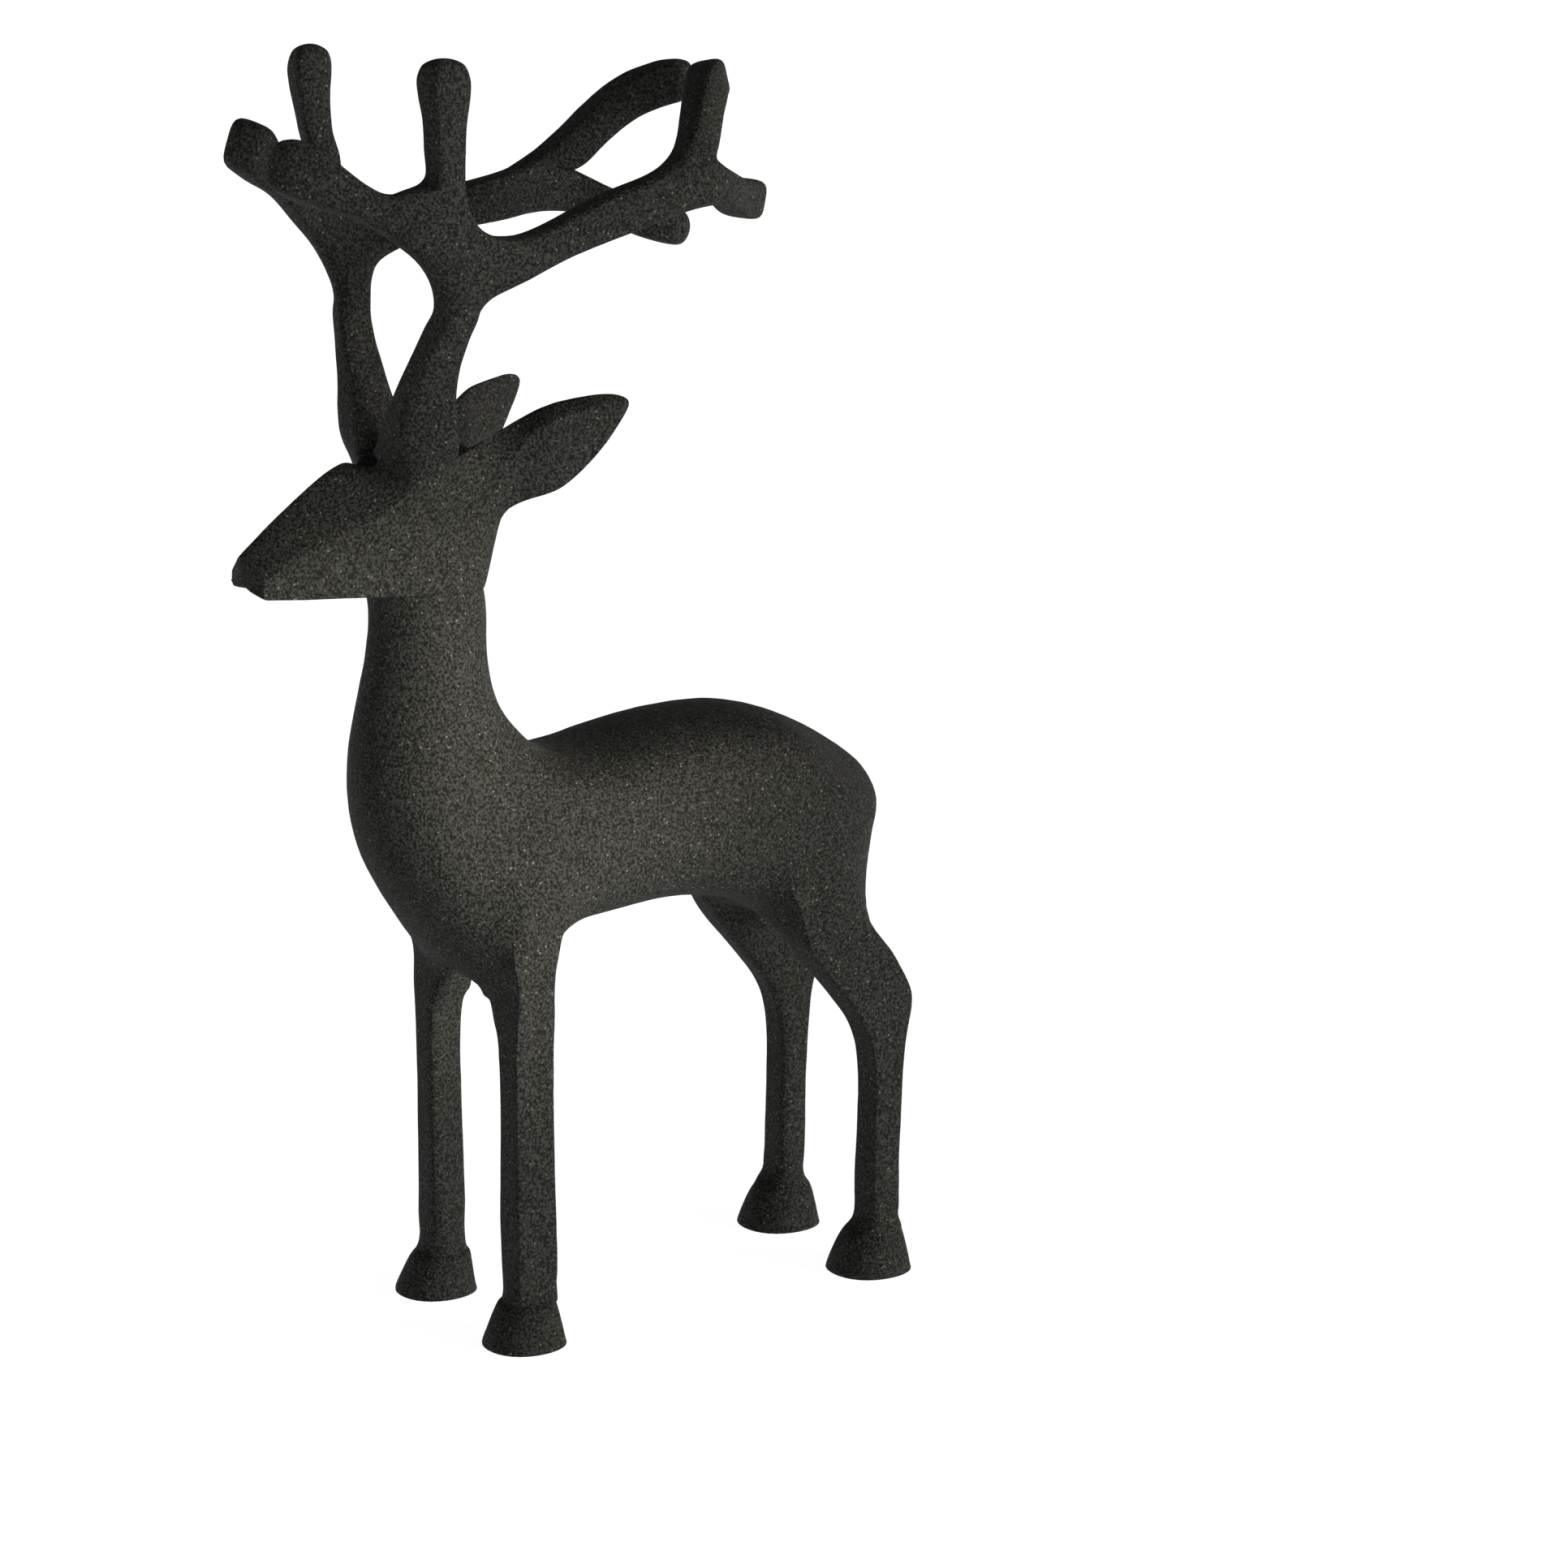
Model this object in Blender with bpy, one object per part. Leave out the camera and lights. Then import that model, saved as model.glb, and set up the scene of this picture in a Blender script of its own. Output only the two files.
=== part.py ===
"""Cast iron stag: one casting with a long neck, a wedge head, leaf ears, branched antlers and bell hooves.

The form is a coarse cage of four-sided faces, smoothed into rounded iron. Lengths in the cage are parts
of the height, PARTS from the floor to the highest antler tip. A cage point is (forward, left, up).
The stag faces -Y, its left side is +X, and the soles stand on Z = 0.
"""

import math

import bmesh
import bpy
import numpy as np

HEIGHT = 0.400
PARTS = 1431.7

# trunk
FLANK = 131
TAIL = (-291, 552)
BUTTOCK = (-246, 440)

# legs and hooves
LEG_HALF = 23
LEG_WIDE_HALF = 21
LEG_OUT = 101
LEG_SPREAD = 0.06
FRONT_LEG = 224
HOOF_HIGH = 64
FRONT_HOOF = (235, 107, 49)
HIND_HOOF = (-234, 100, 52)

# head and neck
NECK_HALF = 64
CHEEK_HALF = 68
JAW = 854
NOSE = (506, 903)
BROW = (384, 994)

EAR_FRONT = 213
EAR_TOP = 1062

# antlers: where the forks and the upper rear tine start, and the half widths of beam and tine
ANTLER_FOOT = 1010
FORK_FORWARD = 302
FORK_UP = 1231
REAR_FORK_FORWARD = 30
HOOK_FOOT = 1301
HOOK_TALL = 80
TINE = 15
TINE_TOP = 1423
BEAM = 20
LEAN = 0.18
TINE_LEAN = 0.1

# how the right antler differs: its beams pitch back, its stem stands further forward, its rear beam leaves
# the fork higher and its rear stub is longer; STEM_TOP and REAR_BEAM are where its stem and rear beam end,
# EASE is the length over which such a change comes in
STEM_TOP = 1131
REAR_BEAM = 180
EASE = 30
RIGHT_RISE = 4
RIGHT_PITCH = 0.09
PITCH_TAKEN_BACK = 0.8
RIGHT_STEM_AHEAD = 12
RIGHT_FORK_RISE = 30
RIGHT_BEAM_RISE = 14
RIGHT_BEAM_AHEAD = 0.05
RIGHT_STUB_BACK = 0.25
RIGHT_STUB_DROP = 0.1

# the chin's right corner is raised: by how much, and how far behind the nose and above the jaw that reaches
CHIN_RISE = 12
CHIN_LONG = 20
CHIN_HIGH = 12

# how crisp the edges stay when the cage is smoothed
KEEN = 0.9
CRISP = 0.75
SOFT = 0.35
SOLE_EDGE = 1.0

SMOOTHING = 2
KEPT_TRIANGLES = 0.53
FAIRING_ROUNDS = 4
FAIRING_STEP = 0.8

FORWARD = np.array([1.0, 0.0, 0.0])
UP = np.array([0.0, 0.0, 1.0])
OUTWARD = np.array([0.0, 1.0, 0.0])

points = []
faces = []
creases = {}


def add(ring):
    """Adds points to the cage and gives their numbers."""
    first = len(points)
    points.extend(tuple(float(value) for value in point) for point in ring)
    return list(range(first, len(points)))


def crease(first, second, crisp):
    creases[tuple(sorted((first, second)))] = crisp


def skin(lower, upper, closed=True, leave=()):
    """Joins two rings side by side; a side named in leave stays open for a limb."""
    count = len(lower)
    for side in range(count if closed else count - 1):
        if side not in leave:
            after = (side + 1) % count
            faces.append((lower[side], lower[after], upper[after], upper[side]))


def corners(centre, deep, wide):
    """The four corners of a section, outer front first and round to inner front."""
    centre = np.array(centre, float)
    return [centre + deep + wide, centre - deep + wide, centre - deep - wide, centre + deep - wide]


def sections(path, halves, toward, lean=0.0):
    """Sections square to a path; toward says which way their first side looks, lean skews them."""
    path = [np.array(point, float) for point in path]
    made = []
    for step, centre in enumerate(path):
        before = path[max(step - 1, 0)]
        after = path[min(step + 1, len(path) - 1)]
        along = (after - before) / np.linalg.norm(after - before)
        wide = OUTWARD - along * along[1]
        wide = wide / np.linalg.norm(wide)
        deep = np.cross(wide, along)
        deep = deep * math.copysign(1, deep @ toward)
        half_deep, half_wide = halves[step]
        made.append(corners(centre, deep * half_deep, wide * half_wide - deep * half_deep * lean))
    return made


def limb(base, rings, crisp, capped=True):
    """Carries a four-sided opening on through rings of four points, and closes it with a cap."""
    last = base
    for ring in rings:
        numbers = add(ring)
        skin(last, numbers)
        for corner in range(4):
            crease(last[corner], numbers[corner], crisp[corner])
        last = numbers
    if capped:
        faces.append(tuple(last))
    return last


def rib(back, belly, wide, boxy=0.75, narrow=0.0):
    """Half a section of the trunk, six points from the back line round to the belly line."""
    made = []
    for step in range(6):
        turn = math.pi * step / 5
        side = wide * math.sin(turn) ** boxy if 0 < step < 5 else 0.0
        down = (1 - math.copysign(abs(math.cos(turn)) ** boxy, math.cos(turn))) / 2
        side *= 1 - narrow * (1 - down) ** 2
        made.append((back[0] + (belly[0] - back[0]) * down, side, back[1] + (belly[1] - back[1]) * down))
    return made


def leg_section(centre, half_deep, half_wide, rounded, slope=0.0):
    """A leg's section: its inner side lower by slope, its inner rear corner drawn in by a share."""
    made = corners(centre, FORWARD * half_deep, OUTWARD * half_wide + UP * slope / 2)
    centre = np.array(centre, float)
    made[2] = centre + (made[2] - centre) * (1 - rounded)
    return made


def hoof(base, leg_forward, forward, left, radius):
    """A bell that flares from the leg, and a little forward of it, to a round flat sole."""
    leg = np.array((leg_forward, LEG_OUT, 0.0))
    sole = np.array((forward, left, 0.0))
    rings = []
    for wide, moved, high in ((0.68, 0.4, 0.75), (0.86, 0.8, 0.38), (0.97, 1.0, 0.1), (1.0, 1.0, 0.0)):
        half = radius * wide * math.sqrt(0.5)
        centre = leg + (sole - leg) * moved + UP * HOOF_HIGH * high
        rings.append(corners(centre, FORWARD * half, OUTWARD * half))
    flared = limb(base, rings[:1], (SOFT, SOFT, 0, 0), capped=False)
    sole = limb(flared, rings[1:], (0, 0, 0, 0))
    for corner in range(4):
        crease(sole[corner], sole[(corner + 1) % 4], SOLE_EDGE)


def front_leg(base):
    rings = []
    for inward, high, slope in ((7, 408, 33), (4, 370, 8)):
        centre = (FRONT_LEG, LEG_OUT - inward, high)
        rings.append(leg_section(centre, LEG_HALF, LEG_WIDE_HALF + 2 * inward, 0.1, slope))
    for high in (330, 200, 68):
        rings.append(leg_section((FRONT_LEG, LEG_OUT, high), LEG_HALF, LEG_WIDE_HALF, 0.3))
    ankle = limb(base, rings, (CRISP, CRISP, SOFT, SOFT), capped=False)
    hoof(ankle, FRONT_LEG, *FRONT_HOOF)


def hind_leg(base):
    """Thigh, pointed hock, slim shank: (front, rear, height) of each section down the leg."""
    thigh = ((-163, -257, 374), (-196, -278, 333), (-222, -273, 290))
    shank = ((-231, -267, 228), (-229, -263, 140), (-227, -261, 68))
    rings = []
    for front, rear, high in thigh + shank:
        wide = LEG_WIDE_HALF + LEG_SPREAD * max(high - thigh[2][2], 0)
        rings.append(leg_section(((front + rear) / 2, LEG_OUT, high), (front - rear) / 2, wide, 0.1))
    ankle = limb(base, rings, (CRISP, CRISP, SOFT, SOFT), capped=False)
    hoof(ankle, (shank[-1][0] + shank[-1][1]) / 2, *HIND_HOOF)


def trunk():
    """Rump, barrel, chest and neck as one row of ribs; gives the last rib, under the jaw."""
    ribs = [
        rib((-246, 620), (-236, 404), 122),
        rib((-160, 664), (-140, 424), 129),
        rib((-80, 684), (-95, 455), FLANK),
        rib((15, 677), (15, 471), 128),
        rib((90, 662), (105, 463), 128),
        rib((150, 660), (188, 452), FLANK, narrow=0.1),
        rib((187, 686), (250, 411), FLANK, narrow=0.25),
        rib((212, 724), (310, 466), 118, narrow=0.42),
        rib((219, 760), (362, 560), 100, 0.85, 0.34),
        rib((221, 794), (374, 668), 78, 0.95, 0.15),
        rib((219, 824), (353, 778), NECK_HALF, 1.0),
        rib((223, JAW - 5), (352, JAW - 8), NECK_HALF, 1.0),
    ]
    rear, front, flank = ribs[:3]
    rear[1], rear[2] = (-254, 84, 566), (-211, 114, 524)
    rear[3], rear[4] = (-218, 127, 430), (-236, 58, 404)
    front[3], front[4] = (-126, FLANK, 430), (-121, 62, 427)
    flank[3], flank[4] = (-95, FLANK, 497), (-80, 70, 462)
    rear, front = ribs[5], ribs[6]
    rear[3], rear[4] = (189, FLANK, 480), (190, 56, 450)
    front[3], front[4] = (254, FLANK, 470), (254, 44, 402)
    numbers = [add(ring) for ring in ribs]
    for step in range(len(ribs) - 1):
        skin(numbers[step], numbers[step + 1], closed=False, leave=(3,) if step in (0, 5) else ())
    rump, thigh, flank = numbers[:3]
    crease(thigh[3], flank[3], CRISP)
    crease(thigh[4], flank[4], SOFT)
    tail, buttock = add([(TAIL[0], 0, TAIL[1]), (BUTTOCK[0], 0, BUTTOCK[1])])
    faces.append((rump[0], rump[1], rump[2], tail))
    faces.append((tail, rump[2], rump[3], buttock))
    faces.append((buttock, rump[3], rump[4], rump[5]))
    hind_leg([thigh[3], rump[3], rump[4], thigh[4]])
    elbow, shoulder = numbers[5], numbers[6]
    front_leg([shoulder[3], elbow[3], elbow[4], shoulder[4]])
    return numbers[-1]


def head(neck):
    """Wedge head over a narrow ledge; gives the openings for the ear and the antler."""
    jaw = add([
        (223, 0, JAW), (236, 46, JAW), (282, CHEEK_HALF, JAW),
        (338, CHEEK_HALF - 3, JAW), (356, 32, JAW), (360, 0, JAW),
    ])
    skin(neck, jaw, closed=False)
    for side in range(1, 5):
        crease(jaw[side], jaw[side + 1], CRISP)
    middle = add([(206, 0, 915), (216, 46, 925), (262, 70, 930), (334, 66, 908)])
    crown = add([(206, 0, 985), (216, 50, 1002), (280, 74, 1002), (338, 63, 962)])
    skin(jaw[:4], middle, closed=False)
    skin(middle, crown, closed=False, leave=(1,))
    brow = add([(BROW[0], 0, BROW[1])])[0]
    muzzle = [brow, crown[3], middle[3], jaw[3], jaw[4], jaw[5]]
    bridge = [(442, 0, 957), (435, 46, 915), (439, 50, 886)]
    bridge += [(443, 48, JAW + 3), (443, 26, JAW + 4), (443, 0, JAW + 4)]
    nose = [(NOSE[0], 0, NOSE[1]), (497, 40, 882), (498, 41, 871)]
    nose += [(496, 39, 860), (501, 20, 866), (505, 0, 872)]
    for station in (bridge, nose):
        ring = add(station)
        skin(muzzle, ring, closed=False)
        for corner in (1, 3):
            crease(muzzle[corner], ring[corner], KEEN)
        muzzle = ring
    faces.append((muzzle[0], muzzle[1], muzzle[2], muzzle[5]))
    faces.append((muzzle[2], muzzle[3], muzzle[4], muzzle[5]))
    for corner in range(5):
        crease(muzzle[corner], muzzle[corner + 1], KEEN if corner < 3 else SOFT)
    inner_rear, inner_front = add([(286, 24, 1000), (352, 20, 1000)])
    hollow_front, hollow_rear = add([(352, 0, 985), (280, 0, 975)])
    faces.append((brow, crown[3], inner_front, hollow_front))
    faces.append((hollow_front, inner_front, inner_rear, hollow_rear))
    faces.append((inner_rear, crown[2], crown[1], crown[0]))
    faces.append((hollow_rear, inner_rear, crown[0]))
    ear_opening = [middle[1], middle[2], crown[2], crown[1]]
    antler_opening = [crown[3], crown[2], inner_rear, inner_front]
    return ear_opening, antler_opening


def ear(base):
    """A folded leaf: lower edge, ridge, upper edge and back at each section out to the tip."""
    rings = (
        ((204, 72, 946), (212, 86, 984), (212, 80, 1034), (198, 62, 990)),
        ((168, 92, 960), (186, 106, 1018), (180, 92, 1051), (165, 84, 1004)),
        ((134, 108, 993), (150, 116, 1041), (142, 106, 1060), (136, 100, 1024)),
        ((108, 122, 1034), (112, 125, 1050), (104, 120, 1061), (102, 117, 1046)),
    )
    limb(base, rings, (SOFT, KEEN, SOFT, 0))


def antler(base):
    """Main beam to a fork, then a tine up, a beam forward and a beam back to a second fork."""
    soft = (SOFT, SOFT, SOFT, SOFT)
    rings = [
        ((345, 76, 1022), (294, 102, 1022), (290, 26, 1022), (350, 16, 1022)),
        ((341, 82, 1068), (297, 100, 1068), (297, 45, 1068), (341, 42, 1068)),
    ]
    for forward, left, high, half in ((308, 97, 1130, 17.5), (300, 111, 1160, 17)):
        lean = FORWARD * half * LEAN
        rings.append(corners((forward, left, high), FORWARD * half, OUTWARD * half - lean))
    low = limb(base, rings, soft, capped=False)
    fork_low = add([(335, 138, 1212), (271, 140, 1183), (271, 104, 1183), (335, 100, 1212)])
    skin(low, fork_low)
    fork_high = add([(358, 142, 1284), (292, 146, 1249), (292, 114, 1249), (358, 106, 1284)])
    skin(fork_low, fork_high, leave=(1, 3))
    path = [(321, 131, 1298), (325, 139, 1325), (329, 148, 1360)]
    path += [(333, 155, TINE_TOP - 28), (334, 157, TINE_TOP - 11), (334, 157, TINE_TOP)]
    halves = [(TINE, TINE)] * 2 + [(TINE + 1, TINE + 1), (19.5, 19.5), (17.5, 17.5), (10, 10)]
    limb(fork_high, sections(path, halves, FORWARD, TINE_LEAN), soft)
    front = [fork_high[0], fork_low[0], fork_low[3], fork_high[3]]
    path = [(390, 104, 1270), (425, 89, 1289), (451, 72, 1306), (467, 57, 1314), (477, 46, 1317)]
    halves = [(15, 17), (20, 18), (25, 20), (24, 19), (13, 11)]
    limb(front, sections(path, halves, UP), soft)
    rear = [fork_high[1], fork_low[1], fork_low[2], fork_high[2]]
    path = [(218, 128, 1220), (140, 142, 1253), (66, 152, 1279), (6, 148, 1288)]
    halves = [(BEAM - 2, 18), (BEAM, 18), (BEAM + 1, 19), (BEAM, 19)]
    rings = sections(path, halves, UP)
    second = limb(rear, rings[:3], soft, capped=False)
    end = add(rings[3])
    skin(second, end, leave=(3,))
    stub = [(-38, 116, 1270), (-72, 90, 1264), (-87, 79, 1261)]
    limb(end, sections(stub, [(17, 17), (19, 18), (11, 10)], UP), soft)
    top = [second[0], end[0], end[3], second[3]]
    hook = [(16, 132, 1326), (-12, 98, 1362), (-42, 58, 1386), (-62, 31, 1392), (-70, 23, 1392)]
    limb(top, sections(hook, [(17, 17), (17, 17), (18, 18), (18, 17), (10, 9)], FORWARD), soft)


def share(value, start, end):
    """How far a value has come from start to end, from 0 to 1."""
    return min(max((value - start) / (end - start), 0), 1)


def right_antler(forward, up):
    """Where a point of the left antler, seen from the side, lies on the right one."""
    grown = share(up, ANTLER_FOOT, FORK_UP)
    hooked = share(up, HOOK_FOOT, HOOK_FOOT + HOOK_TALL)
    ahead = max(forward - FORK_FORWARD, 0)
    behind = max(FORK_FORWARD - forward, 0)
    rear_beam = share(behind, 0, EASE) * share(forward, REAR_FORK_FORWARD, REAR_BEAM) * grown
    stub = max(REAR_FORK_FORWARD - forward, 0) if up < HOOK_FOOT else 0
    rise = RIGHT_RISE + RIGHT_PITCH * (PITCH_TAKEN_BACK * ahead - behind * (1 - PITCH_TAKEN_BACK * hooked))
    rise += rear_beam * (RIGHT_FORK_RISE if up < FORK_UP else RIGHT_BEAM_RISE)
    upright = share(up, ANTLER_FOOT, STEM_TOP) * share(TINE_TOP - up, 0, HOOK_TALL)
    shift = RIGHT_STEM_AHEAD * upright * share(4 * EASE - behind - ahead, 0, 2 * EASE)
    shift += grown * RIGHT_BEAM_AHEAD * (behind * (1 - hooked) - ahead)
    return forward + shift - RIGHT_STUB_BACK * stub, up + grown * rise - RIGHT_STUB_DROP * stub


def right_hand(forward, left, up):
    """The mirror image of a point, with the ways in which the casting's right half differs."""
    if up > (EAR_TOP if forward < EAR_FRONT else ANTLER_FOOT):
        forward, up = right_antler(forward, up)
    elif forward > NOSE[0] - CHIN_LONG and up < JAW + CHIN_HIGH:
        up += CHIN_RISE
    return [forward, -left, up]


def whole_cage():
    """Both halves of the cage: the left as built, the right nearly its mirror image."""
    count = len(points)
    full = [list(point) for point in points]
    twin = {}
    for number in range(count):
        if abs(points[number][1]) < 1e-6:
            twin[number] = number
        else:
            twin[number] = len(full)
            full.append(right_hand(*points[number]))
    full_faces = list(faces) + [tuple(twin[number] for number in reversed(face)) for face in faces]
    full_creases = dict(creases)
    for (first, second), crisp in creases.items():
        full_creases[tuple(sorted((twin[first], twin[second])))] = crisp
    return np.array(full), full_faces, full_creases


def make_mesh(places, all_faces, all_creases):
    """A mesh in metres, facing -Y, with its edges' crispness stored as creases."""
    scale = HEIGHT / PARTS
    mesh = bpy.data.meshes.new("stag")
    turned = [(left * scale, -forward * scale, up * scale) for forward, left, up in places]
    mesh.from_pydata(turned, [], all_faces)
    shell = bmesh.new()
    shell.from_mesh(mesh)
    bmesh.ops.recalc_face_normals(shell, faces=shell.faces)
    shell.to_mesh(mesh)
    shell.free()
    layer = mesh.attributes.new("crease_edge", "FLOAT", "EDGE")
    for edge in mesh.edges:
        layer.data[edge.index].value = all_creases.get(tuple(sorted(edge.vertices)), 0.0)
    return mesh


def smoothed(stag):
    """Where the smoothed surface lies, point by point."""
    bpy.context.view_layer.update()
    evaluated = stag.evaluated_get(bpy.context.evaluated_depsgraph_get())
    mesh = evaluated.to_mesh()
    flat = np.empty(len(mesh.vertices) * 3, np.float32)
    mesh.vertices.foreach_get("co", flat)
    evaluated.to_mesh_clear()
    return flat.reshape(-1, 3).astype(float)


def fair(stag):
    """Moves the cage out until the smoothed surface passes through the points that were named."""
    mesh = stag.data
    count = len(mesh.vertices)
    flat = np.empty(count * 3, np.float32)
    mesh.vertices.foreach_get("co", flat)
    wanted = flat.reshape(-1, 3).astype(float)
    cage = wanted.copy()
    for _ in range(FAIRING_ROUNDS):
        cage += FAIRING_STEP * (wanted - smoothed(stag)[:count])
        mesh.vertices.foreach_set("co", cage.astype(np.float32).ravel())
        mesh.update()


def seat(stag):
    """Sets the soles on the floor and the middle of the figure over the origin."""
    surface = smoothed(stag)
    low, high = surface.min(axis=0), surface.max(axis=0)
    mesh = stag.data
    flat = np.empty(len(mesh.vertices) * 3, np.float32)
    mesh.vertices.foreach_get("co", flat)
    middle = np.array([(low[0] + high[0]) / 2, (low[1] + high[1]) / 2, low[2]])
    placed = flat.reshape(-1, 3) - middle
    mesh.vertices.foreach_set("co", placed.astype(np.float32).ravel())
    mesh.update()


def iron():
    material = bpy.data.materials.new("cast iron")
    material.use_nodes = True
    shader = material.node_tree.nodes["Principled BSDF"]
    shader.inputs["Base Color"].default_value = (0.028, 0.027, 0.024, 1.0)
    shader.inputs["Roughness"].default_value = 0.62
    shader.inputs["Metallic"].default_value = 0.6
    return material


def main():
    for item in list(bpy.data.objects):
        bpy.data.objects.remove(item, do_unlink=True)
    ear_opening, antler_opening = head(trunk())
    ear(ear_opening)
    antler(antler_opening)
    mesh = make_mesh(*whole_cage())
    mesh.materials.append(iron())
    stag = bpy.data.objects.new("stag", mesh)
    bpy.context.scene.collection.objects.link(stag)
    mesh.shade_smooth()
    smooth = stag.modifiers.new("smooth", "SUBSURF")
    smooth.levels = SMOOTHING
    smooth.render_levels = SMOOTHING
    fair(stag)
    seat(stag)
    fewer = stag.modifiers.new("fewer faces", "DECIMATE")
    fewer.ratio = KEPT_TRIANGLES


main()
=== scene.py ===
"""Cast iron stag in a plain studio: one casting, with the uneven skin that a sand mould leaves and painted
glints.

The cage and its lengths are those of the solid, with the forehead's ridge, the ears' folds and the antlers'
feet drawn a little crisper. They are parts of the height, PARTS from the floor to the highest antler tip,
and each point is (forward, left, up). The stag faces -Y and its left side is +X.
"""

import math

import bmesh
import bpy
import numpy as np
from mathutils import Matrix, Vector, noise


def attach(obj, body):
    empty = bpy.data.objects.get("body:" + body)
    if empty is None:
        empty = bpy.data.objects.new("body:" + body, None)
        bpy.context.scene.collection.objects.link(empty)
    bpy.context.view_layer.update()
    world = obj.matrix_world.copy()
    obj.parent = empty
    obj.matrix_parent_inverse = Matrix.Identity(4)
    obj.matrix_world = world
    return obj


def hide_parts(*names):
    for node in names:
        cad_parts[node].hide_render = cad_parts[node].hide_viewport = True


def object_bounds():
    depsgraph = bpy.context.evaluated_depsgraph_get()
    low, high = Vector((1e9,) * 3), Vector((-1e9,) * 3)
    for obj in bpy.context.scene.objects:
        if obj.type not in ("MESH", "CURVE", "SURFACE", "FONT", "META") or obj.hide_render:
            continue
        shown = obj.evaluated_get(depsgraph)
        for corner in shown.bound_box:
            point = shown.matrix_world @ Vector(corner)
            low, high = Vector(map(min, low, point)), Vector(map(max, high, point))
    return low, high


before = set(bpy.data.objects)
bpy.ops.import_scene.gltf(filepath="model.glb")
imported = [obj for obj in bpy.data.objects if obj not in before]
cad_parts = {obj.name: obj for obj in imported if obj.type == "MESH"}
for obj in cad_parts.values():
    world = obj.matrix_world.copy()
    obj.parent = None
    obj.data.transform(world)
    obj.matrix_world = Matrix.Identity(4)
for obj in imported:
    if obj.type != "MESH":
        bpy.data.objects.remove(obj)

solid_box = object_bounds()

PARTS = 1431.7

# trunk
FLANK = 131
TAIL = (-291, 552)
BUTTOCK = (-246, 440)

# legs and hooves
LEG_HALF = 23
LEG_WIDE_HALF = 21
LEG_OUT = 101
LEG_SPREAD = 0.06
FRONT_LEG = 224
HOOF_HIGH = 64
FRONT_HOOF = (235, 107, 49)
HIND_HOOF = (-234, 100, 52)

# head and neck
NECK_HALF = 64
CHEEK_HALF = 68
JAW = 854
NOSE = (506, 903)
BROW = (384, 994)

EAR_FRONT = 213
EAR_TOP = 1062

# antlers: where the forks and the upper rear tine start, and the half widths of beam and tine
ANTLER_FOOT = 1010
FORK_FORWARD = 302
FORK_UP = 1231
REAR_FORK_FORWARD = 30
HOOK_FOOT = 1301
HOOK_TALL = 80
TINE = 15
TINE_TOP = 1423
BEAM = 20
LEAN = 0.18
TINE_LEAN = 0.1

# how the right antler differs: its beams pitch back, its stem stands further forward, its rear beam leaves
# the fork higher and its rear stub is longer; STEM_TOP and REAR_BEAM are where its stem and rear beam end,
# EASE is the length over which such a change comes in
STEM_TOP = 1131
REAR_BEAM = 180
EASE = 30
RIGHT_RISE = 4
RIGHT_PITCH = 0.09
PITCH_TAKEN_BACK = 0.8
RIGHT_STEM_AHEAD = 12
RIGHT_FORK_RISE = 30
RIGHT_BEAM_RISE = 14
RIGHT_BEAM_AHEAD = 0.05
RIGHT_STUB_BACK = 0.25
RIGHT_STUB_DROP = 0.1

# the chin's right corner is raised: by how much, and how far behind the nose and above the jaw that reaches
CHIN_RISE = 12
CHIN_LONG = 20
CHIN_HIGH = 12

# how crisp the edges stay when the cage is smoothed, and the angle in degrees from which a fold looks sharp
KEEN = 0.9
CRISP = 0.75
SOFT = 0.35
SOLE_EDGE = 1.0
FOLD = 25.0

# rounds of smoothing, rounds of moving the cage out again, and the share of the way that each of those goes
SMOOTHING = 3
FAIRING_ROUNDS = 4
FAIRING_STEP = 0.8

# a point nearer to the middle plane than this is its own mirror image
ON_MIDDLE = 1e-6

FORWARD = np.array([1.0, 0.0, 0.0])
UP = np.array([0.0, 0.0, 1.0])
OUTWARD = np.array([0.0, 1.0, 0.0])

# millimetres in a metre
PER_METRE = 1000

# the uneven skin that the sand leaves, in millimetres: how far apart its swells are, how high they are, and
# how far above the flat soles they reach that height
SWELL_APART = 9.0
SWELL_HIGH = 0.16
SOLE_CLEAR = 4.0

# the small swells among them: how many times closer together they are, and their share of the height
SMALL_CLOSER = 2.3
SMALL_HIGH = 0.5

# in millimetres: the width and depth of the sand's grain and of the grit on it, how far apart the painted
# glints may lie, and how wide the patches are in which the blacking's tinge changes
GRAIN = 0.85
GRAIN_DEEP = 0.62
GRIT = 0.35
GRIT_DEEP = 0.15
GLINT_APART = 0.5
PATCHES = 34.0

# the share of the painted glints' places that hold one
GLINT_SHARE = 0.008

# the blacked iron's colours: in the grain's hollows and on its crests, its own tone with painted shade in the
# hollows and painted light on the crests; then the patches' tinge and the painted glints
HOLLOW_TONE_AND_SHADE = "1b1b1b"
CREST_TONE_AND_LIGHT = "484847"
TINGE = "f3f4e8"
PAINTED_GLINT = "747468"

# the levels of the grain at which its hollows end and its crests start, and the same for the grit
HOLLOWS_END = 0.4
CRESTS_START = 0.64
GRIT_LOW = 0.3
GRIT_HIGH = 0.7

# how rough the grit's low and high places are, and how little the blacking shines
LOW_ROUGH = 0.8
HIGH_ROUGH = 0.5
SHINE = 0.08

# the photograph's camera: its place in metres, its turns in degrees, its lens and film in millimetres
CAMERA_AT = (1.069, -0.597, 0.437)
CAMERA_TURN = (77.68, 0.0, 57.61)
LENS = 90.93
FILM = 36.0

# the floor card: how far it reaches in metres, its colour, how rough it is and how much it glows
FLOOR_REACH = 60.0
CARD = "f4f4f2"
CARD_ROUGH = 0.9
CARD_GLOW = 0.92

# the key light: its degrees to the camera's right and above level, its strength, and its spread in degrees;
# WARM is the white of both lamps
KEY_RIGHT = 68
KEY_HIGH = 3
KEY_STRENGTH = 3.3
KEY_SPREAD = 30.0
WARM = "fffbee"

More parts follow.
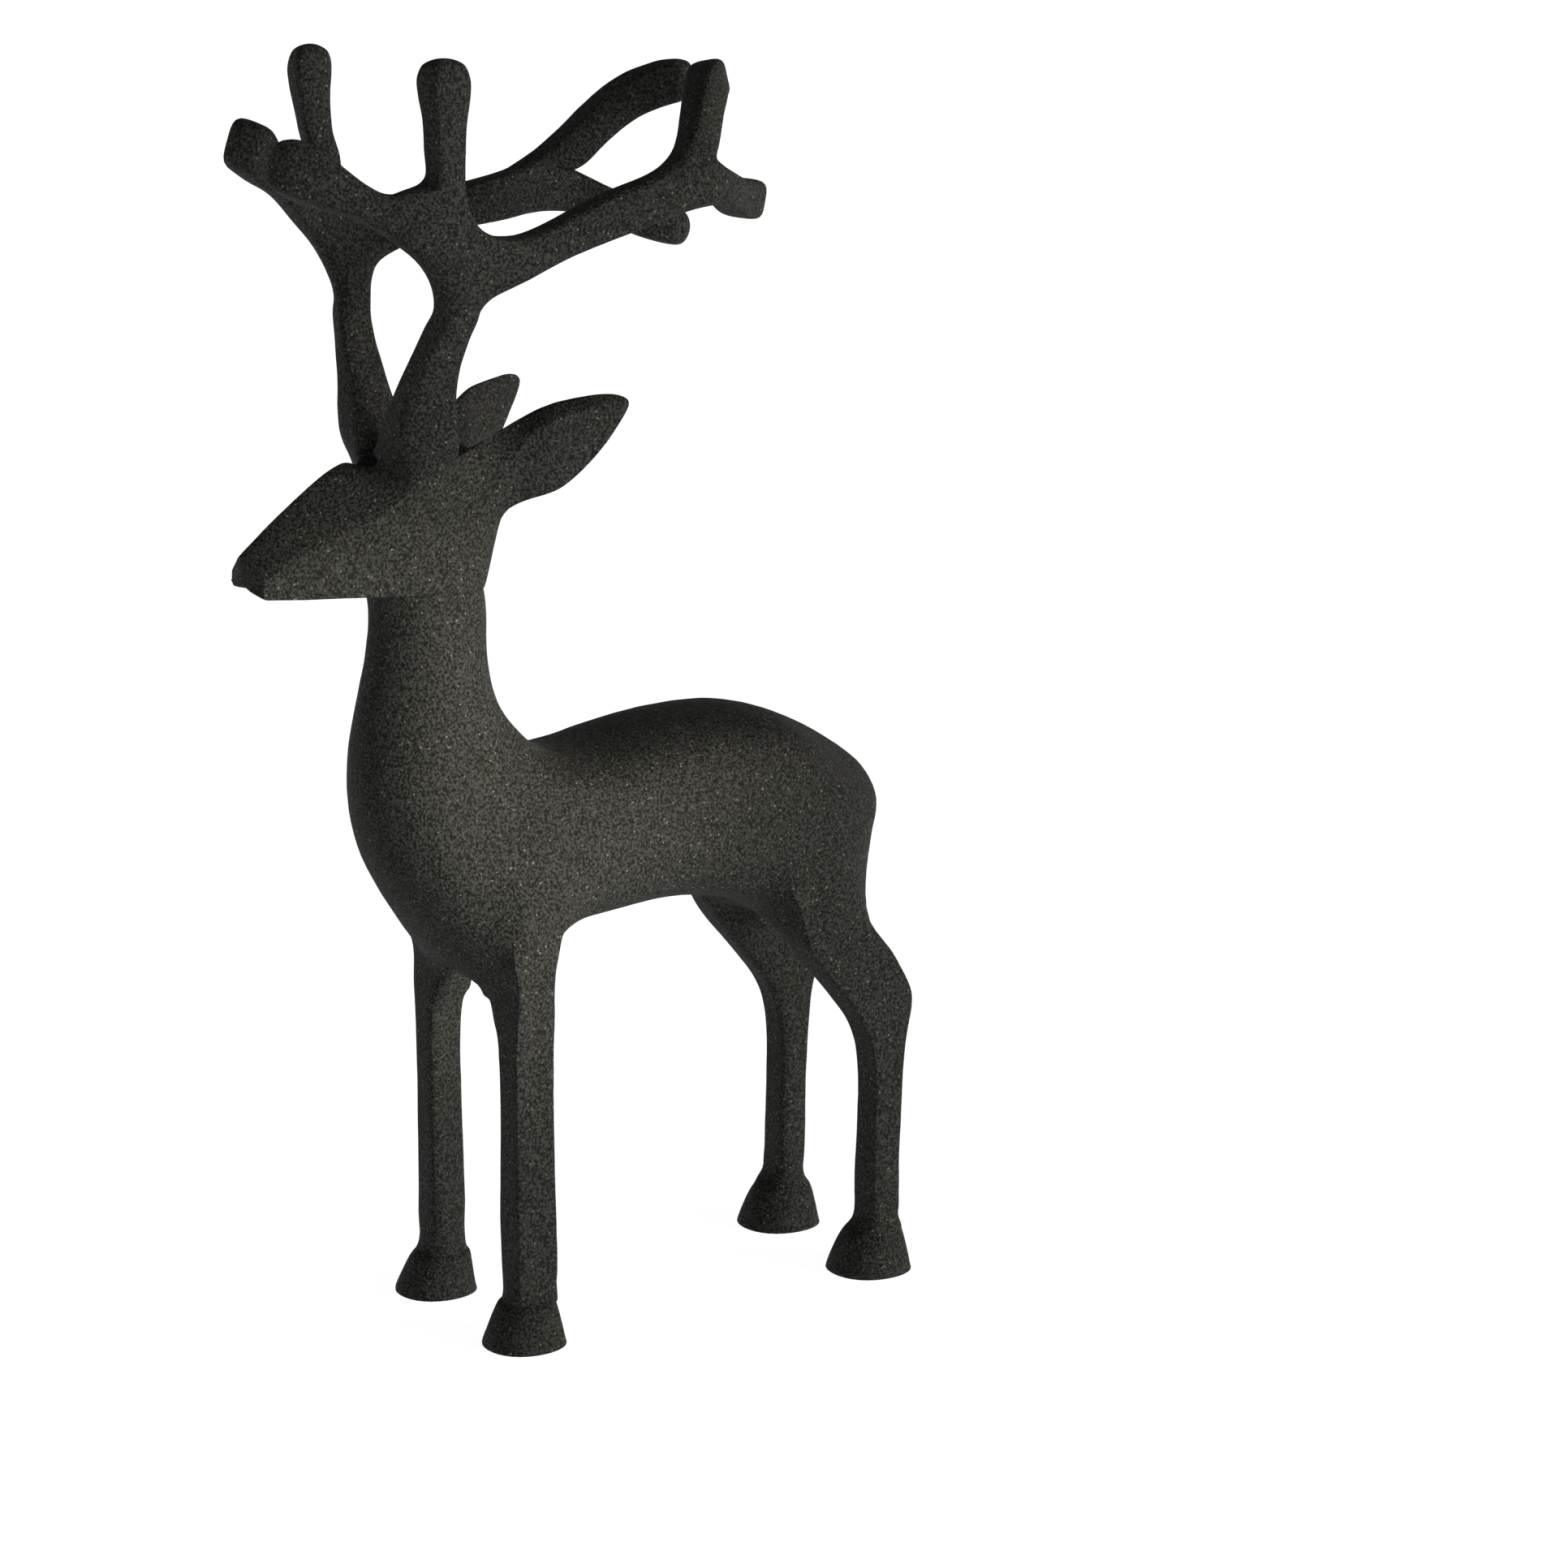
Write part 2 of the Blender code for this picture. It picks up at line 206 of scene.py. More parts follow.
# the lamp that brings the shoulder out: its degrees to the camera's right and above level, its power in watts
# and its cone in degrees, then its radius, its distance and the point that it lights, in metres
POOL_RIGHT = 50
POOL_HIGH = 10
POOL_WATTS = 62.0
POOL_WIDE = 11.5
POOL_RADIUS = 0.03
POOL_FAR = 1.2
POOL_ON = (0.036, -0.05, 0.175)

# the room's light: its strength level with the figure, and overhead from TOP_FROM up; then the share of it
# that is left underneath, from UNDER_FROM down
ROOM_LEVEL = 0.86
ROOM_TOP = 0.08
TOP_FROM = 0.3
ROOM_UNDER = 0.65
UNDER_FROM = -0.3

points = []
faces = []
creases = {}


def add(ring):
    """Adds points to the cage and gives their numbers."""
    first = len(points)
    points.extend(tuple(float(value) for value in point) for point in ring)
    return list(range(first, len(points)))


def crease(first, second, crisp):
    creases[tuple(sorted((first, second)))] = crisp


def skin(lower, upper, closed=True, leave=()):
    """Joins two rings side by side; a side named in leave stays open for a limb."""
    count = len(lower)
    for side in range(count if closed else count - 1):
        if side not in leave:
            after = (side + 1) % count
            faces.append((lower[side], lower[after], upper[after], upper[side]))


def corners(centre, deep, wide):
    """The four corners of a section, outer front first and round to inner front."""
    centre = np.array(centre, float)
    return [centre + deep + wide, centre - deep + wide, centre - deep - wide, centre + deep - wide]


def sections(path, halves, toward, lean=0.0):
    """Sections square to a path; toward says which way their first side looks, lean skews them."""
    path = [np.array(point, float) for point in path]
    made = []
    for step, centre in enumerate(path):
        before = path[max(step - 1, 0)]
        after = path[min(step + 1, len(path) - 1)]
        along = (after - before) / np.linalg.norm(after - before)
        wide = OUTWARD - along * along[1]
        wide = wide / np.linalg.norm(wide)
        deep = np.cross(wide, along)
        deep = deep * math.copysign(1, deep @ toward)
        half_deep, half_wide = halves[step]
        made.append(corners(centre, deep * half_deep, wide * half_wide - deep * half_deep * lean))
    return made


def limb(base, rings, crisp, capped=True):
    """Carries a four-sided opening on through rings of four points, and closes it with a cap."""
    last = base
    for ring in rings:
        numbers = add(ring)
        skin(last, numbers)
        for corner in range(4):
            crease(last[corner], numbers[corner], crisp[corner])
        last = numbers
    if capped:
        faces.append(tuple(last))
    return last


def rib(back, belly, wide, boxy=0.75, narrow=0.0):
    """Half a section of the trunk, six points from the back line round to the belly line."""
    made = []
    for step in range(6):
        turn = math.pi * step / 5
        side = wide * math.sin(turn) ** boxy if 0 < step < 5 else 0.0
        down = (1 - math.copysign(abs(math.cos(turn)) ** boxy, math.cos(turn))) / 2
        side *= 1 - narrow * (1 - down) ** 2
        made.append((back[0] + (belly[0] - back[0]) * down, side, back[1] + (belly[1] - back[1]) * down))
    return made


def leg_section(centre, half_deep, half_wide, rounded, slope=0.0):
    """A leg's section: its inner side lower by slope, its inner rear corner drawn in by a share."""
    made = corners(centre, FORWARD * half_deep, OUTWARD * half_wide + UP * slope / 2)
    centre = np.array(centre, float)
    made[2] = centre + (made[2] - centre) * (1 - rounded)
    return made


def hoof(base, leg_forward, forward, left, radius):
    """A bell that flares from the leg, and a little forward of it, to a round flat sole."""
    leg = np.array((leg_forward, LEG_OUT, 0.0))
    sole = np.array((forward, left, 0.0))
    rings = []
    for wide, moved, high in ((0.68, 0.4, 0.75), (0.86, 0.8, 0.38), (0.97, 1.0, 0.1), (1.0, 1.0, 0.0)):
        half = radius * wide * math.sqrt(0.5)
        centre = leg + (sole - leg) * moved + UP * HOOF_HIGH * high
        rings.append(corners(centre, FORWARD * half, OUTWARD * half))
    flared = limb(base, rings[:1], (SOFT, SOFT, 0, 0), capped=False)
    sole = limb(flared, rings[1:], (0, 0, 0, 0))
    for corner in range(4):
        crease(sole[corner], sole[(corner + 1) % 4], SOLE_EDGE)


def front_leg(base):
    rings = []
    for inward, high, slope in ((7, 408, 33), (4, 370, 8)):
        centre = (FRONT_LEG, LEG_OUT - inward, high)
        rings.append(leg_section(centre, LEG_HALF, LEG_WIDE_HALF + 2 * inward, 0.1, slope))
    for high in (330, 200, 68):
        rings.append(leg_section((FRONT_LEG, LEG_OUT, high), LEG_HALF, LEG_WIDE_HALF, 0.3))
    ankle = limb(base, rings, (CRISP, CRISP, SOFT, SOFT), capped=False)
    hoof(ankle, FRONT_LEG, *FRONT_HOOF)


def hind_leg(base):
    """Thigh, pointed hock, slim shank: (front, rear, height) of each section down the leg."""
    thigh = ((-163, -257, 374), (-196, -278, 333), (-222, -273, 290))
    shank = ((-231, -267, 228), (-229, -263, 140), (-227, -261, 68))
    rings = []
    for front, rear, high in thigh + shank:
        wide = LEG_WIDE_HALF + LEG_SPREAD * max(high - thigh[2][2], 0)
        rings.append(leg_section(((front + rear) / 2, LEG_OUT, high), (front - rear) / 2, wide, 0.1))
    ankle = limb(base, rings, (CRISP, CRISP, SOFT, SOFT), capped=False)
    hoof(ankle, (shank[-1][0] + shank[-1][1]) / 2, *HIND_HOOF)


def trunk():
    """Rump, barrel, chest and neck as one row of ribs; gives the last rib, under the jaw."""
    ribs = [
        rib((-246, 620), (-236, 404), 122),
        rib((-160, 664), (-140, 424), 129),
        rib((-80, 684), (-95, 455), FLANK),
        rib((15, 677), (15, 471), 128),
        rib((90, 662), (105, 463), 128),
        rib((150, 660), (188, 452), FLANK, narrow=0.1),
        rib((187, 686), (250, 411), FLANK, narrow=0.25),
        rib((212, 724), (310, 466), 118, narrow=0.42),
        rib((219, 760), (362, 560), 100, 0.85, 0.34),
        rib((221, 794), (374, 668), 78, 0.95, 0.15),
        rib((219, 824), (353, 778), NECK_HALF, 1.0),
        rib((223, JAW - 5), (352, JAW - 8), NECK_HALF, 1.0),
    ]
    rear, front, flank = ribs[:3]
    rear[1], rear[2] = (-254, 84, 566), (-211, 114, 524)
    rear[3], rear[4] = (-218, 127, 430), (-236, 58, 404)
    front[3], front[4] = (-126, FLANK, 430), (-121, 62, 427)
    flank[3], flank[4] = (-95, FLANK, 497), (-80, 70, 462)
    rear, front = ribs[5], ribs[6]
    rear[3], rear[4] = (189, FLANK, 480), (190, 56, 450)
    front[3], front[4] = (254, FLANK, 470), (254, 44, 402)
    numbers = [add(ring) for ring in ribs]
    for step in range(len(ribs) - 1):
        skin(numbers[step], numbers[step + 1], closed=False, leave=(3,) if step in (0, 5) else ())
    rump, thigh, flank = numbers[:3]
    crease(thigh[3], flank[3], CRISP)
    crease(thigh[4], flank[4], SOFT)
    tail, buttock = add([(TAIL[0], 0, TAIL[1]), (BUTTOCK[0], 0, BUTTOCK[1])])
    faces.append((rump[0], rump[1], rump[2], tail))
    faces.append((tail, rump[2], rump[3], buttock))
    faces.append((buttock, rump[3], rump[4], rump[5]))
    hind_leg([thigh[3], rump[3], rump[4], thigh[4]])
    elbow, shoulder = numbers[5], numbers[6]
    front_leg([shoulder[3], elbow[3], elbow[4], shoulder[4]])
    return numbers[-1]


def head(neck):
    """Wedge head over a narrow ledge; gives the openings for the ear and the antler."""
    jaw = add([
        (223, 0, JAW), (236, 46, JAW), (282, CHEEK_HALF, JAW),
        (338, CHEEK_HALF - 3, JAW), (356, 32, JAW), (360, 0, JAW),
    ])
    skin(neck, jaw, closed=False)
    for side in range(1, 5):
        crease(jaw[side], jaw[side + 1], CRISP)
    middle = add([(206, 0, 915), (216, 46, 925), (262, 70, 930), (334, 66, 908)])
    crown = add([(206, 0, 985), (216, 50, 1002), (280, 74, 1002), (338, 63, 962)])
    skin(jaw[:4], middle, closed=False)
    skin(middle, crown, closed=False, leave=(1,))
    brow = add([(BROW[0], 0, BROW[1])])[0]
    muzzle = [brow, crown[3], middle[3], jaw[3], jaw[4], jaw[5]]
    bridge = [(442, 0, 957), (435, 46, 915), (439, 50, 886)]
    bridge += [(443, 48, JAW + 3), (443, 26, JAW + 4), (443, 0, JAW + 4)]
    nose = [(NOSE[0], 0, NOSE[1]), (497, 40, 882), (498, 41, 871)]
    nose += [(496, 39, 860), (501, 20, 866), (505, 0, 872)]
    for station in (bridge, nose):
        ring = add(station)
        skin(muzzle, ring, closed=False)
        for corner in (0, 1, 3):
            crease(muzzle[corner], ring[corner], KEEN)
        muzzle = ring
    faces.append((muzzle[0], muzzle[1], muzzle[2], muzzle[5]))
    faces.append((muzzle[2], muzzle[3], muzzle[4], muzzle[5]))
    for corner in range(5):
        crease(muzzle[corner], muzzle[corner + 1], KEEN if corner < 3 else SOFT)
    inner_rear, inner_front = add([(286, 24, 1000), (352, 20, 1000)])
    hollow_front, hollow_rear = add([(352, 0, 985), (280, 0, 975)])
    crease(brow, hollow_front, KEEN)
    faces.append((brow, crown[3], inner_front, hollow_front))
    faces.append((hollow_front, inner_front, inner_rear, hollow_rear))
    faces.append((inner_rear, crown[2], crown[1], crown[0]))
    faces.append((hollow_rear, inner_rear, crown[0]))
    ear_opening = [middle[1], middle[2], crown[2], crown[1]]
    antler_opening = [crown[3], crown[2], inner_rear, inner_front]
    return ear_opening, antler_opening


def ear(base):
    """A folded leaf: lower edge, ridge, upper edge and back at each section out to the tip."""
    rings = (
        ((204, 72, 946), (212, 92, 1012), (212, 72, 1034), (198, 62, 990)),
        ((168, 92, 960), (186, 110, 1035), (180, 88, 1051), (165, 84, 1004)),
        ((134, 108, 993), (150, 119, 1047), (142, 102, 1060), (136, 100, 1024)),
        ((108, 122, 1034), (112, 125, 1050), (104, 120, 1061), (102, 117, 1046)),
    )
    limb(base, rings, (SOFT, KEEN, SOFT, 0))


def antler(base):
    """Main beam to a fork, then a tine up, a beam forward and a beam back to a second fork."""
    soft = (SOFT, SOFT, SOFT, SOFT)
    rings = [
        ((347, 78, 1011), (294, 102, 1011), (290, 26, 1011), (350, 16, 1011)),
        ((341, 82, 1068), (297, 100, 1068), (297, 45, 1068), (341, 42, 1068)),
    ]
    for forward, left, high, half in ((308, 97, 1130, 17.5), (300, 111, 1160, 17)):
        lean = FORWARD * half * LEAN
        rings.append(corners((forward, left, high), FORWARD * half, OUTWARD * half - lean))
    low = limb(base, rings, soft, capped=False)
    fork_low = add([(335, 138, 1212), (271, 140, 1183), (271, 104, 1183), (335, 100, 1212)])
    skin(low, fork_low)
    fork_high = add([(358, 142, 1284), (292, 146, 1249), (292, 114, 1249), (358, 106, 1284)])
    skin(fork_low, fork_high, leave=(1, 3))
    path = [(321, 131, 1298), (325, 139, 1325), (329, 148, 1360)]
    path += [(333, 155, TINE_TOP - 28), (334, 157, TINE_TOP - 11), (334, 157, TINE_TOP)]
    halves = [(TINE, TINE)] * 2 + [(TINE + 1, TINE + 1), (19.5, 19.5), (17.5, 17.5), (10, 10)]
    limb(fork_high, sections(path, halves, FORWARD, TINE_LEAN), soft)
    front = [fork_high[0], fork_low[0], fork_low[3], fork_high[3]]
    path = [(390, 104, 1270), (425, 89, 1289), (451, 72, 1306), (467, 57, 1314), (477, 46, 1317)]
    halves = [(15, 17), (20, 18), (25, 20), (24, 19), (13, 11)]
    limb(front, sections(path, halves, UP), soft)
    rear = [fork_high[1], fork_low[1], fork_low[2], fork_high[2]]
    path = [(218, 128, 1220), (140, 142, 1253), (66, 152, 1279), (6, 148, 1288)]
    halves = [(BEAM - 2, 18), (BEAM, 18), (BEAM + 1, 19), (BEAM, 19)]
    rings = sections(path, halves, UP)
    second = limb(rear, rings[:3], soft, capped=False)
    end = add(rings[3])
    skin(second, end, leave=(3,))
    stub = [(-38, 116, 1270), (-72, 90, 1264), (-87, 79, 1261)]
    limb(end, sections(stub, [(17, 17), (19, 18), (11, 10)], UP), soft)
    top = [second[0], end[0], end[3], second[3]]
    hook = [(16, 132, 1326), (-12, 98, 1362), (-42, 58, 1386), (-62, 31, 1392), (-70, 23, 1392)]
    limb(top, sections(hook, [(17, 17), (17, 17), (18, 18), (18, 17), (10, 9)], FORWARD), soft)


def share(value, start, end):
    """How far a value has come from start to end, from 0 to 1."""
    return min(max((value - start) / (end - start), 0), 1)


def right_antler(forward, up):
    """Where a point of the left antler, seen from the side, lies on the right one."""
    grown = share(up, ANTLER_FOOT, FORK_UP)
    hooked = share(up, HOOK_FOOT, HOOK_FOOT + HOOK_TALL)
    ahead = max(forward - FORK_FORWARD, 0)
    behind = max(FORK_FORWARD - forward, 0)
    rear_beam = share(behind, 0, EASE) * share(forward, REAR_FORK_FORWARD, REAR_BEAM) * grown
    stub = max(REAR_FORK_FORWARD - forward, 0) if up < HOOK_FOOT else 0
    rise = RIGHT_RISE + RIGHT_PITCH * (PITCH_TAKEN_BACK * ahead - behind * (1 - PITCH_TAKEN_BACK * hooked))
    rise += rear_beam * (RIGHT_FORK_RISE if up < FORK_UP else RIGHT_BEAM_RISE)
    upright = share(up, ANTLER_FOOT, STEM_TOP) * share(TINE_TOP - up, 0, HOOK_TALL)
    shift = RIGHT_STEM_AHEAD * upright * share(4 * EASE - behind - ahead, 0, 2 * EASE)
    shift += grown * RIGHT_BEAM_AHEAD * (behind * (1 - hooked) - ahead)
    return forward + shift - RIGHT_STUB_BACK * stub, up + grown * rise - RIGHT_STUB_DROP * stub


def right_hand(forward, left, up):
    """The mirror image of a point, with the ways in which the casting's right half differs."""
    if up > (EAR_TOP if forward < EAR_FRONT else ANTLER_FOOT):
        forward, up = right_antler(forward, up)
    elif forward > NOSE[0] - CHIN_LONG and up < JAW + CHIN_HIGH:
        up += CHIN_RISE
    return [forward, -left, up]


def whole_cage():
    """Both halves of the cage: the left as built, the right nearly its mirror image."""
    count = len(points)
    full = [list(point) for point in points]
    twin = {}
    for number in range(count):
        if abs(points[number][1]) < ON_MIDDLE:
            twin[number] = number
        else:
            twin[number] = len(full)
            full.append(right_hand(*points[number]))
    full_faces = list(faces) + [tuple(twin[number] for number in reversed(face)) for face in faces]
    full_creases = dict(creases)
    for (first, second), crisp in creases.items():
        full_creases[tuple(sorted((twin[first], twin[second])))] = crisp
    return np.array(full), full_faces, full_creases


def raw_mesh(places, all_faces, all_creases):
    """The cage as a mesh, facing -Y, with its edges' crispness stored as creases."""
    scale = (solid_box[1][2] - solid_box[0][2]) / PARTS
    mesh = bpy.data.meshes.new("stag casting")
    turned = [(left * scale, -forward * scale, up * scale) for forward, left, up in places]
    mesh.from_pydata(turned, [], all_faces)
    shell = bmesh.new()
    shell.from_mesh(mesh)
    bmesh.ops.recalc_face_normals(shell, faces=shell.faces)
    shell.to_mesh(mesh)
    shell.free()
    layer = mesh.attributes.new("crease_edge", "FLOAT", "EDGE")
    for edge in mesh.edges:
        layer.data[edge.index].value = all_creases.get(tuple(sorted(edge.vertices)), 0.0)
    return mesh


def coordinates(mesh):
    flat = np.empty(len(mesh.vertices) * 3, np.float32)
    mesh.vertices.foreach_get("co", flat)
    return flat.reshape(-1, 3).astype(float)


def set_coordinates(mesh, places):
    mesh.vertices.foreach_set("co", places.astype(np.float32).ravel())
    mesh.update()


def smoothed(stag):
    """Where the smoothed surface lies, point by point."""
    bpy.context.view_layer.update()
    evaluated = stag.evaluated_get(bpy.context.evaluated_depsgraph_get())
    places = coordinates(evaluated.to_mesh())
    evaluated.to_mesh_clear()
    return places


def fair(stag):
    """Moves the cage out until the smoothed surface passes through the points that were named."""
    wanted = coordinates(stag.data)
    cage = wanted.copy()
    for _ in range(FAIRING_ROUNDS):
        cage += FAIRING_STEP * (wanted - smoothed(stag)[:len(wanted)])
        set_coordinates(stag.data, cage)


def applied(piece):
    """The piece's mesh with its modifiers worked in, and the modifiers gone."""
    bpy.context.view_layer.update()
    evaluated = piece.evaluated_get(bpy.context.evaluated_depsgraph_get())
    piece.data = bpy.data.meshes.new_from_object(evaluated)
    piece.modifiers.clear()
    return piece.data


def swell(mesh):
    """Low swells over the whole skin, as sand leaves them; the soles stay flat."""
    places = coordinates(mesh)
    reach = PER_METRE / SWELL_APART
    for vertex in mesh.vertices:
        place = Vector(places[vertex.index])
        high = noise.noise(place * reach) + SMALL_HIGH * noise.noise(place * reach * SMALL_CLOSER)
        clear = share(place.z * PER_METRE, 0, SOLE_CLEAR)
        places[vertex.index] += np.array(vertex.normal) * (high * clear * SWELL_HIGH / PER_METRE)
    set_coordinates(mesh, places)


def seat(mesh):
    """Fits the skin into the solid's box: soles on the floor, middle over its middle, the same height."""
    places = coordinates(mesh)
    low, high = places.min(axis=0), places.max(axis=0)
    box_low, box_high = np.array(solid_box[0]), np.array(solid_box[1])
    scale = ((box_high - box_low) / (high - low)).min()
    shift = (box_low + box_high) / 2 - (low + high) / 2 * scale
    shift[2] = box_low[2] - low[2] * scale
    set_coordinates(mesh, places * scale + shift)


def stag_casting():
    ear_opening, antler_opening = head(trunk())
    ear(ear_opening)
    antler(antler_opening)
    mesh = raw_mesh(*whole_cage())
    stag = bpy.data.objects.new("stag_casting", mesh)
    bpy.context.scene.collection.objects.link(stag)
    smooth = stag.modifiers.new("smooth", "SUBSURF")
    smooth.levels = SMOOTHING
    smooth.render_levels = SMOOTHING
    fair(stag)
    skin_mesh = applied(stag)
    swell(skin_mesh)
    seat(skin_mesh)
    skin_mesh.shade_smooth()
    skin_mesh.set_sharp_from_angle(angle=math.radians(FOLD))
    return stag


def linear(colour):
    """A colour written as sRGB hex, in the linear values that the shaders take."""
    values = [int(colour[place:place + 2], 16) / 255 for place in (0, 2, 4)]
    return tuple(v / 12.92 if v <= 0.04045 else ((v + 0.055) / 1.055) ** 2.4 for v in values) + (1.0,)


def node(tree, kind, settings=None, inputs=None, links=None):
    """Adds a node; links names its inputs and the outputs that they take their values from."""
    made = tree.nodes.new(kind)
    for name, value in (settings or {}).items():
        setattr(made, name, value)
    for name, value in (inputs or {}).items():
        made.inputs[name].default_value = value
    for name, source in (links or {}).items():
        tree.links.new(source, made.inputs[name])
    return made


def sand_cast_iron():
    """Iron as it leaves a sand mould, blacked: matt and nearly black, its grain partly painted shade and
    light, with painted glints.
    """
    material = bpy.data.materials.new("sand-cast iron, blacked")
    material.use_nodes = True
    tree = material.node_tree
    shader = tree.nodes["Principled BSDF"]
    place = node(tree, "ShaderNodeTexCoord").outputs["Object"]
    grain = node(
        tree, "ShaderNodeTexNoise", {}, {"Scale": PER_METRE / GRAIN, "Detail": 2.0, "Roughness": 0.6},
        {"Vector": place},
    )
    grit = node(
        tree, "ShaderNodeTexNoise", {}, {"Scale": PER_METRE / GRIT, "Detail": 1.0}, {"Vector": place},
    )
    patches = node(
        tree, "ShaderNodeTexNoise", {}, {"Scale": PER_METRE / PATCHES, "Detail": 4.0}, {"Vector": place},
    )
    # the grain's tone: darker in its hollows and lighter on its crests, partly painted shade and painted
    # light on the grain
    shade = node(tree, "ShaderNodeValToRGB", links={"Fac": grain.outputs["Fac"]})
    hollow_tone_and_shade, crest_tone_and_light = shade.color_ramp.elements
    hollow_tone_and_shade.position = HOLLOWS_END
    hollow_tone_and_shade.color = linear(HOLLOW_TONE_AND_SHADE)
    crest_tone_and_light.position = CRESTS_START
    crest_tone_and_light.color = linear(CREST_TONE_AND_LIGHT)
    tinged = node(
        tree, "ShaderNodeMix", {"data_type": "RGBA", "blend_type": "MULTIPLY"},
        {"B": linear(TINGE)}, {"Factor": patches.outputs["Fac"], "A": shade.outputs["Color"]},
    )
    # painted glints: single specks of a light colour laid into the base colour, standing in for glints of
    # light
    glint_cells = node(
        tree, "ShaderNodeTexVoronoi", {}, {"Scale": PER_METRE / GLINT_APART}, {"Vector": place},
    )
    lone = node(tree, "ShaderNodeSeparateColor", links={"Color": glint_cells.outputs["Color"]})
    rare = node(
        tree, "ShaderNodeMath", {"operation": "GREATER_THAN"}, {1: 1 - GLINT_SHARE},
        {0: lone.outputs["Red"]},
    )
    bright = node(
        tree, "ShaderNodeMix", {"data_type": "RGBA"}, {"B": linear(PAINTED_GLINT)},
        {"Factor": rare.outputs["Value"], "A": tinged.outputs["Result"]},
    )
    tree.links.new(bright.outputs["Result"], shader.inputs["Base Color"])
    rough = node(
        tree, "ShaderNodeMapRange", {},
        {"From Min": GRIT_LOW, "From Max": GRIT_HIGH, "To Min": LOW_ROUGH, "To Max": HIGH_ROUGH},
        {"Value": grit.outputs["Fac"]},
    )
    tree.links.new(rough.outputs["Result"], shader.inputs["Roughness"])
    shader.inputs["Specular IOR Level"].default_value = SHINE
    fine = node(
        tree, "ShaderNodeBump", {}, {"Strength": 1.0, "Distance": GRIT_DEEP / PER_METRE},
        {"Height": grit.outputs["Fac"]},
    )
    coarse = node(
        tree, "ShaderNodeBump", {}, {"Strength": 1.0, "Distance": GRAIN_DEEP / PER_METRE},
        {"Height": grain.outputs["Fac"], "Normal": fine.outputs["Normal"]},
    )
    tree.links.new(coarse.outputs["Normal"], shader.inputs["Normal"])
    return material


def pale_floor():
    """White card, laid flat and reaching far behind: matt, and bright enough to lose its edge in the room."""
    mesh = bpy.data.meshes.new("floor")
    square = ((-1, -1), (1, -1), (1, 1), (-1, 1))
    mesh.from_pydata([(x * FLOOR_REACH, y * FLOOR_REACH, 0) for x, y in square], [], [(0, 1, 2, 3)])
    floor = bpy.data.objects.new("floor", mesh)
    bpy.context.scene.collection.objects.link(floor)
    card = bpy.data.materials.new("white card")
    card.use_nodes = True
    shader = card.node_tree.nodes["Principled BSDF"]
    shader.inputs["Base Color"].default_value = linear(CARD)
    shader.inputs["Roughness"].default_value = CARD_ROUGH
    shader.inputs["Emission Color"].default_value = linear("ffffff")
    shader.inputs["Emission Strength"].default_value = CARD_GLOW
    mesh.materials.append(card)
    floor.visible_diffuse = False
    floor.visible_glossy = False


def from_camera(right, high):
    """The way light goes that comes from the camera's side, turned right and raised by these angles."""
    turn = math.radians(CAMERA_TURN[2] - 90 + right)
    rise = math.radians(high)
    return Vector((-math.cos(turn) * math.cos(rise), -math.sin(turn) * math.cos(rise), -math.sin(rise)))


def hang(lamp, aim, place=(0, 0, 0)):
    """Puts a lamp of a slightly warm white in the room, shining the way that aim says."""
    lamp.color = linear(WARM)[:3]
    held = bpy.data.objects.new(lamp.name, lamp)
    held.location = place
    held.rotation_euler = aim.to_track_quat("-Z", "Y").to_euler()
    bpy.context.scene.collection.objects.link(held)


def key_light():
    """A broad light, so far off that it falls alike on the whole figure."""
    lamp = bpy.data.lights.new("key", "SUN")
    lamp.energy = KEY_STRENGTH
    lamp.angle = math.radians(KEY_SPREAD)
    hang(lamp, from_camera(KEY_RIGHT, KEY_HIGH))


